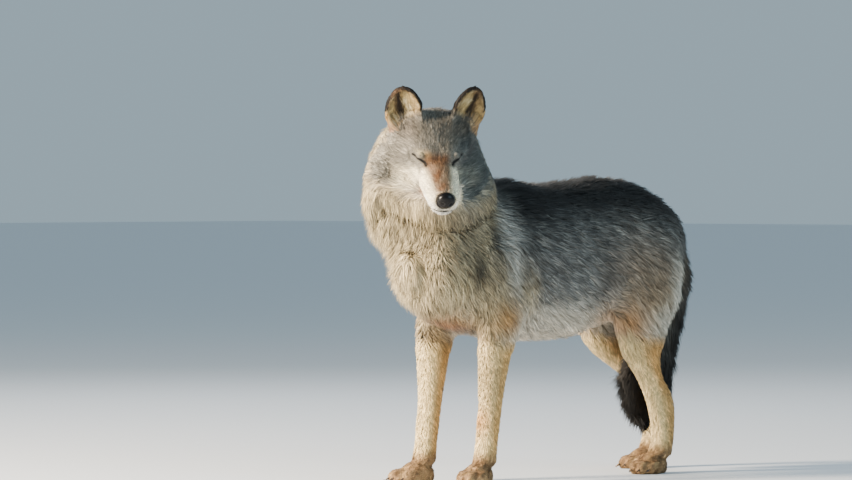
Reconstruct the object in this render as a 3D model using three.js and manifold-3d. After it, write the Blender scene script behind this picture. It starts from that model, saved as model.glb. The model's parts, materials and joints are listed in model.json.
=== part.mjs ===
// Grey wolf, standing, its head turned to its left. A still, life-size model.
// Millimetres. The wolf faces -Y, its left side is +X, up is +Z and the floor is Z = 0.
// Every surface is the outside of the winter coat. The body is built whole from lofts,
// joined, and then parted by thin cuts into the pieces that a person would name.

import * as THREE from 'three';
import { mergeVertices } from 'three/addons/utils/BufferGeometryUtils.js';
import Module from 'manifold-3d';

// ---- driving dimensions -------------------------------------------------------------

const GAP = 0.3; // width of every cut between two pieces

// heights over the floor of the back line and of the line under chest and belly
const WITHERS = 740;
const BACK_DIP = 722;
const RUMP = 743;
const CHEST_LINE = 328;
const BELLY_LINE = 326;
const TRUNK_HALF_WIDTH = 145;

// where the feet stand: half of the track width, and the places along Y
const FORE_TRACK = 78;
const HIND_TRACK = 88;
const FORE_WRIST_Y = { left: -258, right: -302 };
const HIND_PAW_Y = { left: 325, right: 497 };

// the head: the point midway between the eyes, its turn to the left and its dip
const EYE_MIDDLE = [100, -456, 772];
const HEAD_TURN = 56;
const HEAD_DIP = 37;
const COLLAR_DIP = 12; // the ruff behind the cheeks dips less than the face
const EYE_SPREAD = 41;
const EYEBALL_RADIUS = 12.5;
const MUZZLE_LENGTH = 128;
const NOSE_HALF_SIZE = [21.5, 15, 21.5];
const EAR_HEIGHT = 106;
const EAR_HALF_WIDTH = 49;
const EAR_SPREAD = 71;

const COAT = {
  back: 0x4a4742,
  side: 0x807c74,
  ruff: 0xa3988a,
  crown: 0x7b7263,
  pale: 0xc9bda6,
  leg: 0xc4a67d,
  paw: 0xa88058,
  tail: 0x55504a,
  tailTip: 0x1d1b1b,
  ear: 0x8a7256,
  nose: 0x141315,
  eye: 0x1c1310,
};
const FUR_ROUGHNESS = 0.9;
const NOSE_ROUGHNESS = 0.35;
const EYE_ROUGHNESS = 0.1;

const radians = THREE.MathUtils.degToRad;
const SIDES = { left: 1, right: -1 };

// ---- making, joining and cutting solids ---------------------------------------------

const wasm = await Module();
wasm.setup();

/** A closed three.js geometry as a solid that can be joined and cut. */
function solidOf(geometry) {
  const bare = geometry.clone();
  bare.deleteAttribute('normal');
  bare.deleteAttribute('uv');
  const merged = mergeVertices(bare, 1e-4);
  return new wasm.Manifold(new wasm.Mesh({
    numProp: 3,
    vertProperties: new Float32Array(merged.attributes.position.array),
    triVerts: new Uint32Array(merged.index.array),
  }));
}

/** A solid back as a three.js geometry. */
function geometryOf(solid) {
  const mesh = solid.getMesh();
  const corners = [];
  for (let i = 0; i < mesh.numVert; i += 1) {
    const first = i * mesh.numProp;
    corners.push(...mesh.vertProperties.subarray(first, first + 3));
  }
  const geometry = new THREE.BufferGeometry();
  geometry.setAttribute('position', new THREE.Float32BufferAttribute(corners, 3));
  geometry.setIndex(Array.from(mesh.triVerts));
  geometry.computeVertexNormals();
  return geometry;
}

const join = (...solids) => solids.reduce((whole, next) => whole.add(next));

/** The two sides of a thin plane cut: first the side that the normal points to. */
function part(solid, point, normal) {
  const n = new THREE.Vector3(...normal).normalize();
  const offset = n.dot(new THREE.Vector3(...point));
  return [
    solid.trimByPlane([n.x, n.y, n.z], offset + GAP / 2),
    solid.trimByPlane([-n.x, -n.y, -n.z], -offset + GAP / 2),
  ];
}

/** What lies inside a block and what lies outside it. `block` makes it, grown by a gap. */
function takeOut(solid, block) {
  return [solid.intersect(block(0)), solid.subtract(block(GAP))];
}

/** A rectangular block, grown by `grow` on each face, standing on its own base. */
const boxBlock = (size, middle, grow) => new THREE
  .BoxGeometry(...size.map((v) => v + 2 * grow))
  .translate(...middle);

/**
 * A closed body drawn through stations. A station is [x, y, z, wide, up, down]: the
 * middle of a section and its half-sizes to either side, above and below. The sizes
 * are blended as squares, which rounds off the ends, where they are zero. Sections
 * stand upright across Y ('upright') or lie flat, with `up` towards the front ('flat').
 */
function loft(stations, lie, sides, perStation, grow = 0) {
  const middles = new THREE.CatmullRomCurve3(
    stations.map((s) => new THREE.Vector3(s[0], s[1], s[2])));
  const squares = new THREE.CatmullRomCurve3(
    stations.map((s) => new THREE.Vector3(s[3] ** 2, s[4] ** 2, s[5] ** 2)), false, 'catmullrom');
  const rings = (stations.length - 1) * perStation;
  const upward = lie === 'upright' ? new THREE.Vector3(0, 0, 1) : new THREE.Vector3(0, -1, 0);
  const across = new THREE.Vector3(1, 0, 0);
  const corners = [middles.getPoint(0)];
  for (let i = 1; i < rings; i += 1) {
    const middle = middles.getPoint(i / rings);
    const square = squares.getPoint(i / rings);
    const [wide, up, down] = square.toArray().map((v) => Math.sqrt(Math.max(v, 1)) + grow);
    for (let k = 0; k < sides; k += 1) {
      const turn = (2 * Math.PI * k) / sides;
      const rise = Math.sin(turn) * (Math.sin(turn) > 0 ? up : down);
      corners.push(middle.clone()
        .addScaledVector(across, Math.cos(turn) * wide)
        .addScaledVector(upward, rise));
    }
  }
  corners.push(middles.getPoint(1));

  const faces = [];
  const last = corners.length - 1;
  for (let k = 0; k < sides; k += 1) {
    const next = (k + 1) % sides;
    faces.push(0, 1 + next, 1 + k);
    for (let i = 0; i < rings - 2; i += 1) {
      const a = 1 + i * sides;
      const b = a + sides;
      faces.push(a + k, a + next, b + k, a + next, b + next, b + k);
    }
    faces.push(last, last - sides + k, last - sides + next);
  }
  const geometry = new THREE.BufferGeometry().setFromPoints(corners);
  geometry.setIndex(faces);
  return facingOut(geometry);
}

/** Turns all the faces of a closed geometry outwards. */
function facingOut(geometry) {
  const index = geometry.index.array;
  const corner = (i) => new THREE.Vector3()
    .fromBufferAttribute(geometry.attributes.position, index[i]);
  let volume = 0;
  for (let i = 0; i < index.length; i += 3) {
    volume += corner(i).dot(corner(i + 1).cross(corner(i + 2)));
  }
  if (volume < 0) {
    for (let i = 0; i < index.length; i += 3) {
      [index[i], index[i + 1]] = [index[i + 1], index[i]];
    }
  }
  return geometry;
}

/** An egg shape: a sphere with a half-size for each axis. */
const egg = (half, at, sides, rings) => new THREE
  .SphereGeometry(1, sides, rings)
  .scale(...half)
  .translate(...at);

// ---- trunk and neck -----------------------------------------------------------------

const trunk = solidOf(loft([
  [0, 525, 590, 0, 0, 0],
  [0, 500, 582, 66, 60, 92],
  [0, 430, 560, 107, 131, 140],
  [0, 330, 550, 126, 180, 165],
  [0, 200, 545, 130, RUMP - 545, 190],
  [0, 80, 532, 134, 197, 532 - BELLY_LINE],
  [0, -30, 530, TRUNK_HALF_WIDTH, BACK_DIP - 530, 530 - BELLY_LINE],
  [0, -130, 535, TRUNK_HALF_WIDTH, WITHERS - 535, 535 - CHEST_LINE],
  [0, -240, 530, 142, 188, 186],
  [0, -340, 520, 134, 150, 150],
  [0, -430, 510, 108, 100, 105],
  [0, -478, 500, 0, 0, 0],
], 'upright', 18, 1));

const neck = solidOf(loft([
  [0, -215, 470, 0, 0, 0],
  [0, -262, 530, 125, 172, 160],
  [0, -308, 600, 128, 165, 165],
  [4, -338, 670, 124, 138, 152],
  [10, -358, 740, 116, 108, 140],
  [16, -368, 800, 92, 88, 112],
  [20, -370, 845, 60, 60, 76],
  [20, -370, 875, 0, 0, 0],
], 'flat', 16, 1));

// ---- head ---------------------------------------------------------------------------
// Drawn level and facing -Y round the point between the eyes, then turned and dipped.

const poseAtEyes = (dip) => new THREE.Matrix4()
  .makeTranslation(...EYE_MIDDLE)
  .multiply(new THREE.Matrix4().makeRotationZ(radians(HEAD_TURN)))
  .multiply(new THREE.Matrix4().makeRotationX(radians(dip)));

const headPose = poseAtEyes(HEAD_DIP);
const headPoint = (x, y, z) => new THREE.Vector3(x, y, z).applyMatrix4(headPose).toArray();
const headWay = (x, y, z) => new THREE.Vector3(x, y, z).transformDirection(headPose).toArray();

const ruff = solidOf(loft([
  [0, 118, 98, 0, 0, 0],
  [0, 112, 66, 92, 60, 86],
  [0, 108, 28, 120, 64, 108],
  [0, 108, -20, 143, 60, 118],
  [0, 110, -70, 152, 64, 124],
  [0, 112, -125, 154, 76, 128],
  [0, 118, -180, 150, 86, 124],
  [0, 124, -222, 140, 84, 112],
  [0, 136, -262, 100, 70, 92],
  [0, 146, -296, 0, 0, 0],
], 'flat', 18, 1).applyMatrix4(poseAtEyes(COLLAR_DIP)));

const skull = solidOf(loft([
  [0, 160, 0, 0, 0, 0],
  [0, 135, 0, 80, 62, 76],
  [0, 95, -2, 108, 80, 96],
  [0, 58, -6, 110, 76, 96],
  [0, 25, -12, 84, 58, 80],
  [0, 4, -18, 56, 42, 64],
  [0, -18, -22, 40, 32, 52],
  [0, -50, -26, 0, 0, 0],
], 'upright', 16, 1).applyMatrix4(headPose));

const muzzle = solidOf(loft([
  [0, 44, -28, 0, 0, 0],
  [0, 18, -28, 53, 42, 66],
  [0, -20, -30, 49, 36, 63],
  [0, -60, -33, 44, 28, 56],
  [0, -94, -36, 40, 22, 49],
  [0, -114, -38, 34, 20, 44],
  [0, -MUZZLE_LENGTH, -40, 0, 0, 0],
], 'upright', 14, 2).applyMatrix4(headPose));

/** The nose pad at the end of the muzzle, or with `grow` the seat that it fills. */
const nosePad = (grow) => solidOf(
  egg(NOSE_HALF_SIZE.map((v) => v + grow), [0, -MUZZLE_LENGTH + 7, -31], 10, 7)
    .applyMatrix4(headPose));

/** An eyeball, or with `grow` the socket that it sits in. */
const eyeball = (side, grow) => solidOf(
  egg([0, 1, 2].map(() => EYEBALL_RADIUS + grow), [side * EYE_SPREAD, 2, 1], 10, 7)
    .applyMatrix4(headPose));

/** How an ear stands on the crown: leaning out a little and opening forwards and out. */
const earPose = (side) => headPose.clone()
  .multiply(new THREE.Matrix4().makeTranslation(side * EAR_SPREAD, 76, 40))
  .multiply(new THREE.Matrix4().makeRotationY(radians(side * 12)))
  .multiply(new THREE.Matrix4().makeRotationZ(radians(side * 18)))
  .multiply(new THREE.Matrix4().makeRotationX(radians(-8)));

/** An ear: a leaf hollowed at the front. */
function ear(side) {
  const leaf = loft([
    [0, 0, -40, 0, 0, 0],
    [0, 0, -8, 38, 16, 28],
    [0, 0, 32, EAR_HALF_WIDTH, 12, 28],
    [0, 2, 62, EAR_HALF_WIDTH - 5, 8, 22],
    [0, 5, 88, EAR_HALF_WIDTH - 20, 5, 13],
    [0, 7, EAR_HEIGHT, 0, 0, 0],
  ], 'flat', 12, 2);
  const hollow = loft([
    [0, -10, 0, 0, 0, 0],
    [0, -8, 28, EAR_HALF_WIDTH - 10, 20, 24],
    [0, -6, 60, EAR_HALF_WIDTH - 14, 18, 20],
    [0, -4, 84, EAR_HALF_WIDTH - 28, 14, 13],
    [0, -2, EAR_HEIGHT - 9, 0, 0, 0],
  ], 'flat', 10, 2);
  return solidOf(leaf.applyMatrix4(earPose(side)))
    .subtract(solidOf(hollow.applyMatrix4(earPose(side))));
}

// ---- tail ---------------------------------------------------------------------------

/** The tail, hanging between the hind legs, so narrow and deep lower down. */
const tailShape = (grow) => solidOf(loft([
  [0, 392, 660, 0, 0, 0],
  [0, 432, 622, 38, 44, 40],
  [0, 474, 565, 54, 60, 58],
  [0, 494, 490, 60, 64, 68],
  [0, 478, 400, 52, 66, 66],
  [0, 450, 310, 46, 96, 64],
  [0, 434, 240, 46, 122, 68],
  [0, 422, 185, 42, 102, 62],
  [0, 412, 142, 32, 72, 46],
  [0, 404, 112, 0, 0, 0],
], 'flat', 14, 1, grow));

// ---- legs ---------------------------------------------------------------------------

/** Four toes with claws and the pad behind them, all flat underneath. */
function paw(x, y, toeOut) {
  const toes = [[-26, -18, 16], [-10, -38, 17], [10, -38, 17], [26, -18, 16]];
  const pieces = toes.map(([dx, dy, wide]) => join(
    solidOf(egg([wide, 30, 23], [dx, dy, 14], 6, 5)),
    solidOf(new THREE.ConeGeometry(4, 20, 4).rotateX(radians(202)).translate(dx, dy - 32, 10)),
  ));
  const pad = solidOf(egg([36, 46, 36], [0, 8, 18], 9, 7));
  return join(pad, ...pieces)
    .rotate([0, 0, toeOut])
    .translate([x, y, 0])
    .trimByPlane([0, 0, 1], 0);
}

/** A foreleg from inside the shoulder down to the paw. `y` is the place of its wrist. */
function foreleg(side, y) {
  const x = side * FORE_TRACK;
  return join(
    solidOf(loft([
      [side * 92, -170, 640, 0, 0, 0],
      [side * 100, -190, 570, 44, 74, 62],
      [side * 98, -208, 480, 52, 92, 76],
      [side * 97, -216, 415, 54, 94, 70],
      [side * 91, (y - 196) / 2, 360, 50, 76, 56],
      [x + side * 2, y + 20, 305, 38, 45, 46],
      [x, y + 12, 240, 33, 35, 37],
      [x, y + 7, 185, 29, 30, 31],
      [x, y, 140, 29, 30, 31],
      [x, y - 6, 95, 28, 28, 29],
      [x, y - 14, 50, 29, 31, 32],
      [x, y - 22, 12, 0, 0, 0],
    ], 'flat', 12, 1)),
    paw(x + side * 3, y - 44, side * 16),
  );
}

/** A hind leg: thigh, shank, upright hock and paw. A paw set further back drags it out. */
function hindleg(side, pawY) {
  const x = side * HIND_TRACK;
  const y = pawY + 46;
  const trail = pawY - HIND_PAW_Y.left;
  return join(
    solidOf(loft([
      [side * 66, 320, 690, 0, 0, 0],
      [side * 80, 330 + trail * 0.1, 610, 48, 120, 84],
      [side * 88, 320 + trail * 0.2, 510, 58, 140, 128],
      [side * 92, 300 + trail * 0.3, 420, 56, 130, 120],
      [side * 96, 288 + trail * 0.42, 345, 47, 98, 84],
      [side * 95, 282 + trail * 0.62, 290, 40, 60, 58],
      [side * 92, 312 + trail * 0.85, 243, 35, 38, 38],
      [x, 348 + trail, 200, 32, 40, 44],
      [x, 364 + trail, 166, 30, 40, 43],
      [x, y, 123, 29, 33, 34],
      [x, y, 80, 28, 30, 31],
      [x, y - 12, 46, 30, 34, 34],
      [x, y - 24, 12, 0, 0, 0],
    ], 'flat', 12, 1)),
    paw(x, pawY, side * 6),
  );
}

// ---- the whole body, then the cuts --------------------------------------------------

const legs = Object.entries(SIDES).flatMap(([name, side]) => [
  foreleg(side, FORE_WRIST_Y[name]),
  hindleg(side, HIND_PAW_Y[name]),
]);

let body = join(trunk, neck, ruff, skull, muzzle, ear(1), ear(-1), ...legs)
  .subtract(tailShape(GAP))
  .subtract(nosePad(GAP))
  .subtract(eyeball(1, GAP))
  .subtract(eyeball(-1, GAP));

// each piece is a solid and its colour
const pieces = {
  nose: [nosePad(0), COAT.nose],
  eye_left: [eyeball(1, 0), COAT.eye],
  eye_right: [eyeball(-1, 0), COAT.eye],
};

// the head from the neck, and the ears and snout from the head
let head;
[head, body] = takeOut(body, (grow) => solidOf(
  boxBlock([400, 400, 360], [0, -88, 82], grow).applyMatrix4(headPose)));
for (const [name, side] of Object.entries(SIDES)) {
  const [ear, rest] = takeOut(head, (grow) => solidOf(
    boxBlock([170, 130, 130], [0, 0, 81], grow)
      .rotateY(radians(side * 28))
      .applyMatrix4(earPose(side))));
  pieces[`ear_${name}`] = [ear, COAT.ear];
  head = rest;
}
let snout;
[snout, head] = takeOut(head, (grow) => solidOf(
  boxBlock([124, 200, 150], [0, -120, -35], grow).applyMatrix4(headPose)));
const [upperMuzzle, jaw] = part(snout, headPoint(0, -60, -54), headWay(0, 0.1, 1));
pieces.head = [head, COAT.crown];
pieces.muzzle = [upperMuzzle, COAT.pale];
pieces.jaw = [jaw, COAT.pale];

/**
 * A block that takes one limb off the body: a side view of [y, z] corners, drawn out
 * sideways from the plane |x| = inner. `grow` moves its faces outwards.
 */
function limbBlock(outline, side, inner, grow) {
  const reach = 300;
  const middle = outline
    .reduce((sum, corner) => sum.add(new THREE.Vector2(...corner)), new THREE.Vector2())
    .divideScalar(outline.length);
  const shape = new THREE.Shape(outline.map((corner) => {
    const out = new THREE.Vector2(...corner).sub(middle);
    return out.setLength(out.length() + 2 * grow).add(middle);
  }));
  const block = new THREE.ExtrudeGeometry(shape, { depth: reach, bevelEnabled: false });
  // the outline's x and y become Y and Z, and the depth becomes X
  block.applyMatrix4(new THREE.Matrix4().makeBasis(
    new THREE.Vector3(0, 1, 0), new THREE.Vector3(0, 0, 1), new THREE.Vector3(1, 0, 0)));
  return solidOf(block.translate(side > 0 ? inner - grow : grow - inner - reach, 0, 0));
}

/** Cuts a limb at level heights from the top down and files the lengths under its name. */
function fileLimb(limb, name, lengths) {
  let rest = limb;
  for (const [piece, colour, height] of lengths) {
    let upper = rest;
    if (height !== undefined) [upper, rest] = part(rest, [0, 0, height], [0, 0, 1]);
    pieces[`${name}_${piece}`] = [upper, colour];
  }
}

const FORE_OUTLINE = [
  [-500, -40], [-500, 330], [-345, 395], [-285, 560],
  [-160, 585], [-112, 400], [-160, 350], [-160, -40],
];
const HIND_OUTLINE = [
  [150, -40], [160, 335], [235, 545], [380, 590], [700, 520], [700, -40],
];
for (const [name, side] of Object.entries(SIDES)) {
  let limb;
  [limb, body] = takeOut(body, (grow) => limbBlock(FORE_OUTLINE, side, 36, grow));
  fileLimb(limb, `foreleg_${name}`, [
    ['shoulder', COAT.side, 328],
    ['forearm', COAT.leg, 62],
    ['paw', COAT.paw],
  ]);
  [limb, body] = takeOut(body, (grow) => limbBlock(HIND_OUTLINE, side, 34, grow));
  fileLimb(limb, `hindleg_${name}`, [
    ['thigh', COAT.side, 330],
    ['shank', COAT.leg, 205],
    ['hock', COAT.leg, 58],
    ['paw', COAT.paw],
  ]);
}

// what is left is parted into neck, chest, belly and hindquarters
const [throat, barrel] = part(body, [0, -262, 640], [0, -1, 0.42]);
const [rear, chest] = part(barrel, [0, -40, 0], [0, 1, 0]);
const [hindquarters, belly] = part(rear, [0, 190, 0], [0, 1, 0]);
pieces.neck = [throat, COAT.ruff];
pieces.chest = [chest, COAT.side];
pieces.belly = [belly, COAT.side];
pieces.hindquarters = [hindquarters, COAT.back];

const [tailBase, tailRest] = part(tailShape(0), [0, 498, 440], [0, 0.15, 1]);
const [tailMiddle, tailTip] = part(tailRest, [0, 436, 250], [0, 0.2, 1]);
pieces.tail_base = [tailBase, COAT.tail];
pieces.tail_middle = [tailMiddle, COAT.tail];
pieces.tail_tip = [tailTip, COAT.tailTip];

// ---- the scene graph ----------------------------------------------------------------

const roughness = { nose: NOSE_ROUGHNESS, eye_left: EYE_ROUGHNESS, eye_right: EYE_ROUGHNESS };
const wolf = new THREE.Group();
for (const [name, [solid, colour]] of Object.entries(pieces)) {
  const finish = new THREE.MeshStandardMaterial({
    color: colour,
    roughness: roughness[name] ?? FUR_ROUGHNESS,
    metalness: 0,
  });
  const mesh = new THREE.Mesh(geometryOf(solid), finish);
  mesh.name = name;
  wolf.add(mesh);
}

// the origin goes to the middle of the outline, on the floor
const middle = new THREE.Box3().setFromObject(wolf).getCenter(new THREE.Vector3());
wolf.position.set(-middle.x, -middle.y, 0);
const model = new THREE.Group();
model.add(wolf);
export default model;
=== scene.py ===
import json
import math

import bmesh
import bpy
import numpy as np
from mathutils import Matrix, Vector
from mathutils.bvhtree import BVHTree
from mathutils.kdtree import KDTree


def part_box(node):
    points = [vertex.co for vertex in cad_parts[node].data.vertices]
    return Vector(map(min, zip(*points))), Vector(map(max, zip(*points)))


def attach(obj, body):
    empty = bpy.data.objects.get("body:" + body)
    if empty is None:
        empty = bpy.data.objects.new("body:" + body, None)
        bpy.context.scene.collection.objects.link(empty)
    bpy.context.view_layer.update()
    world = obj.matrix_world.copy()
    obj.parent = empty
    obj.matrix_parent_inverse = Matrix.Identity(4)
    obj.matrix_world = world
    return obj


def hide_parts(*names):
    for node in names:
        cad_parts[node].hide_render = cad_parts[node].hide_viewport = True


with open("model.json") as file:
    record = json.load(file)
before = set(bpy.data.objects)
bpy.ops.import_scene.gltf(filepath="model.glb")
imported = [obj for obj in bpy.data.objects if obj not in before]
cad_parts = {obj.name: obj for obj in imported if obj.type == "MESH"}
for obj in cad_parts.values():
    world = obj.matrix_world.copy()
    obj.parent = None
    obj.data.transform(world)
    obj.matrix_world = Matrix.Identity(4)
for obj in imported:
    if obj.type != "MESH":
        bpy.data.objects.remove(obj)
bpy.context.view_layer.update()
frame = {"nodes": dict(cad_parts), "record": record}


# ---- the body under the coat ---------------------------------------------------------
# One skin over the whole animal, under a winter coat whose outside the solids show: they are
# run together, eased smooth, and sunk by the coat's depth. Metres; the wolf faces -Y, its
# left side is +X and its head is turned to its left.

def coat(depth, length, width, count, under, over, dark, lie, ease=1.0):
    """How one part of the body is haired: depth of the coat, length and width of a tuft, how many
    to a square metre (thousands), colours of wool and tips, share of black tips, lie, ease."""
    return dict(depth=depth, length=length, width=width, count=count, under=under, over=over,
                dark=dark, lie=lie, ease=ease)


MM = 0.001
LEG_BACK = (0, 0.18, -1)
COATS = {
    "head": coat(9, 16, 1.6, 320, "#a8a192", "#8f8a7c", 0.5, "head"),
    "muzzle": coat(2.5, 8, 1.5, 300, "#ddd2bc", "#ddd1b8", 0.03, "head", 0.3),
    "jaw": coat(4, 10, 1.7, 240, "#e6ddca", "#ece4d4", 0.0, "head", 0.3),
    "neck": coat(34, 45, 2.5, 98, "#c4b493", "#b8a886", 0.26, (0, 0.35, -1)),
    "chest": coat(26, 50, 3.2, 66, "#8b8982", "#686a69", 0.44, (0, 1, -0.55)),
    "belly": coat(26, 50, 3.3, 60, "#8b8982", "#686a69", 0.44, (0, 1, -0.45)),
    "hindquarters": coat(24, 48, 3.3, 60, "#88837a", "#5a5957", 0.46, (0, 1, -0.65)),
    "tail_base": coat(16, 50, 3.6, 72, "#554d43", "#332f2b", 0.6, (0, 0.25, -1)),
    "tail_middle": coat(16, 60, 3.2, 84, "#322d28", "#1c1a18", 0.7, (0, -0.4, -1)),
    "tail_tip": coat(15, 56, 3.0, 100, "#1b1917", "#0d0c0c", 0.88, (0, -0.35, -1)),
}
PAIRED_COATS = {
    "ear_{}": coat(1.4, 7, 1.7, 230, "#8d7355", "#7c6248", 0.25, "ear", 0.04),
    "foreleg_{}_shoulder": coat(17, 34, 2.6, 84, "#b8a681", "#a49270", 0.28, (0, 0.5, -1), 0.8),
    "foreleg_{}_forearm": coat(5, 13, 1.9, 126, "#d6aa68", "#dcb06f", 0.08, LEG_BACK, 0.3),
    "foreleg_{}_paw": coat(3, 8, 1.7, 150, "#a08562", "#a68a66", 0.08, (0, -1, -0.5), 0.05),
    "hindleg_{}_thigh": coat(20, 38, 2.8, 78, "#a48a63", "#87704f", 0.32, (0, 0.6, -1), 0.8),
    "hindleg_{}_shank": coat(8, 19, 2.3, 104, "#ce9f62", "#c99656", 0.10, (0, 0.6, -1), 0.4),
    "hindleg_{}_hock": coat(5, 12, 1.9, 126, "#d0a66c", "#cda062", 0.08, LEG_BACK, 0.2),
    "hindleg_{}_paw": coat(3, 8, 1.7, 150, "#9c7650", "#a27b54", 0.08, (0, -1, -0.5), 0.05),
}
for name, kind in PAIRED_COATS.items():
    COATS[name.format("left")] = kind
    COATS[name.format("right")] = kind
flesh = sorted(COATS)


def middle(node):
    """The middle of a node's box."""
    low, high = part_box(node)
    return np.array((low + high) / 2)


def unit(v):
    return v / np.maximum(np.linalg.norm(v, axis=-1, keepdims=True), 1e-9)


def smooth(low, high, v):
    """0 below low, 1 above high, and an even rise between."""
    t = np.clip((v - low) / (high - low), 0, 1)
    return t * t * (3 - 2 * t)


def linear(hex_colour):
    """An sRGB hex colour as linear red, green and blue."""
    value = [int(hex_colour[i:i + 2], 16) / 255 for i in (1, 3, 5)]
    return np.array([v / 12.92 if v <= 0.04045 else ((v + 0.055) / 1.055) ** 2.4 for v in value])


# the head's own axes, from its eyes and nose: x to its left, y to the back, z up. The nose is
# 31 mm below the eyes and 121 mm before them.
NOSE_BELOW_LEVEL = math.atan2(31, 121)
eye_middle = (middle("eye_left") + middle("eye_right")) / 2
head_left = unit(middle("eye_left") - middle("eye_right"))
to_nose = middle("nose") - eye_middle
to_nose = unit(to_nose - head_left * to_nose.dot(head_left))
over_nose = np.cross(to_nose, head_left)
head_front = math.cos(NOSE_BELOW_LEVEL) * to_nose + math.sin(NOSE_BELOW_LEVEL) * over_nose
HEAD_AXES = np.array([head_left, -head_front, np.cross(head_front, head_left)])


def in_head(points):
    """Points of the row frame in the head's own axes, in millimetres."""
    return (points - eye_middle) @ HEAD_AXES.T / MM


def from_head(points):
    """Points in the head's own axes, in millimetres, as points of the row frame."""
    return np.asarray(points) * MM @ HEAD_AXES + eye_middle


# the solids run together
VOXEL = 3.3 * MM
CUT_CLOSING = 0.9 * MM  # each solid grows by this, so that the thin cuts between them close
WELD = 0.01 * MM
whole = bmesh.new()
for name in frame["nodes"]:
    whole.from_mesh(frame["nodes"][name].data)
bmesh.ops.remove_doubles(whole, verts=whole.verts, dist=WELD)
whole.normal_update()
for v in whole.verts:
    v.co = v.co + v.normal * CUT_CLOSING
block = bpy.data.meshes.new("flesh_block")
whole.to_mesh(block)
whole.free()
block_object = bpy.data.objects.new("flesh_block", block)
bpy.context.scene.collection.objects.link(block_object)
remesh = block_object.modifiers.new("one_surface", "REMESH")
remesh.mode = "VOXEL"
remesh.voxel_size = VOXEL
depsgraph = bpy.context.evaluated_depsgraph_get()
skin_mesh = bpy.data.meshes.new_from_object(block_object.evaluated_get(depsgraph))
bpy.data.objects.remove(block_object)

# a finer mesh where the face has lids and lips, in millimetres of the head's axes
FACE_LOW = np.array([-72, -150, -100])
FACE_HIGH = np.array([72, 24, 34])
fine = bmesh.new()
fine.from_mesh(skin_mesh)
face_edges = set()
for face in fine.faces:
    at = in_head(np.array(face.calc_center_median()))
    if (at > FACE_LOW).all() and (at < FACE_HIGH).all():
        face_edges.update(face.edges)
bmesh.ops.subdivide_edges(fine, edges=sorted(face_edges, key=lambda e: e.index), cuts=1,
                          use_grid_fill=True)
bmesh.ops.triangulate(fine, faces=[f for f in fine.faces if len(f.verts) > 4])
fine.to_mesh(skin_mesh)
fine.free()


def read(collection, field, width, kind):
    """One value of each item of a mesh, as an array with `width` columns."""
    out = np.empty(len(collection) * width, kind)
    collection.foreach_get(field, out)
    return out.reshape(-1, width) if width > 1 else out


outer = read(skin_mesh.vertices, "co", 3, np.float32).astype(float)
edges = read(skin_mesh.edges, "vertices", 2, np.int32)
skin_mesh.calc_loop_triangles()
triangles = read(skin_mesh.loop_triangles, "vertices", 3, np.int32)
count = len(outer)
degree = np.maximum(np.bincount(edges.ravel(), minlength=count), 1)


def spread(values, times, share):
    """Eases values over the surface: each point moves towards the mean of its neighbours."""
    values = values.copy()
    a, b = edges.T
    for _ in range(times):
        for c in range(values.shape[1]):
            total = np.bincount(a, values[b, c], count) + np.bincount(b, values[a, c], count)
            step = total / degree - values[:, c]
            values[:, c] += step * share
    return values


def normals_of(points):
    """The outward direction at each point of the surface."""
    p = points[triangles]
    face = np.cross(p[:, 1] - p[:, 0], p[:, 2] - p[:, 0])
    out = np.zeros_like(points)
    for corner in range(3):
        for c in range(3):
            out[:, c] += np.bincount(triangles[:, corner], face[:, c], count)
    return unit(out)


def laid_on(way, up):
    """A direction laid flat on the surface, whose outward direction is `up`."""
    return unit(way - up * (way * up).sum(1)[:, None])


# which solid each point came from
corners = []
polygons = []
owners = []
for index, name in enumerate(flesh):
    mesh = frame["nodes"][name].data
    first = len(corners)
    corners.extend(v.co.copy() for v in mesh.vertices)
    polygons.extend([first + i for i in p.vertices] for p in mesh.polygons)
    owners.extend([index] * len(mesh.polygons))
tree = BVHTree.FromPolygons(corners, polygons)
owner = np.array([owners[tree.find_nearest(Vector(p))[2]] for p in outer])
at_head = in_head(outer)


def part(*words):
    """Which points belong to the parts with any of these words in their names."""
    return np.isin(owner, [i for i, n in enumerate(flesh) if any(w in n for w in words)])


def soften(where, times, share):
    """1 on a part and 0 off it, with a soft border."""
    return spread(where[:, None] * 1.0, times, share)[:, 0]


# what each place is haired with, eased from part to part
PART_EASING = 30
table = np.array([[COATS[n]["depth"], COATS[n]["length"], COATS[n]["width"], COATS[n]["count"],
                   COATS[n]["dark"], COATS[n]["ease"],
                   *linear(COATS[n]["under"]), *linear(COATS[n]["over"])] for n in flesh])
made = spread(table[owner], PART_EASING, 0.6)
depth, length, width, crowd, dark, ease = made[:, :6].T
under = made[:, 6:9].copy()
over = made[:, 9:12].copy()

# on the cheeks the hair is longer than on the forehead, in millimetres more
CHEEK_DEPTH = 14
CHEEK_LENGTH = 22
CHEEK_WIDTH = 0.9
hx, hy, hz = at_head.T
on_head = part("head")
cheek = on_head * smooth(62, 95, np.hypot(hx, 0.7 * np.minimum(hz, 0)))
depth = depth + cheek * CHEEK_DEPTH
length = length + cheek * CHEEK_LENGTH
width = width + cheek * CHEEK_WIDTH

# round the eyes the coat is very thin
EYE_AT = {1: np.array([41, 4.5, 1.0]), -1: np.array([-41, 4.5, 1.0])}
eye_distance = np.minimum(np.linalg.norm(at_head - EYE_AT[1], axis=1),
                          np.linalg.norm(at_head - EYE_AT[-1], axis=1))
depth = depth * np.where(on_head, 0.22 + 0.78 * smooth(16, 48, eye_distance), 1)

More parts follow.
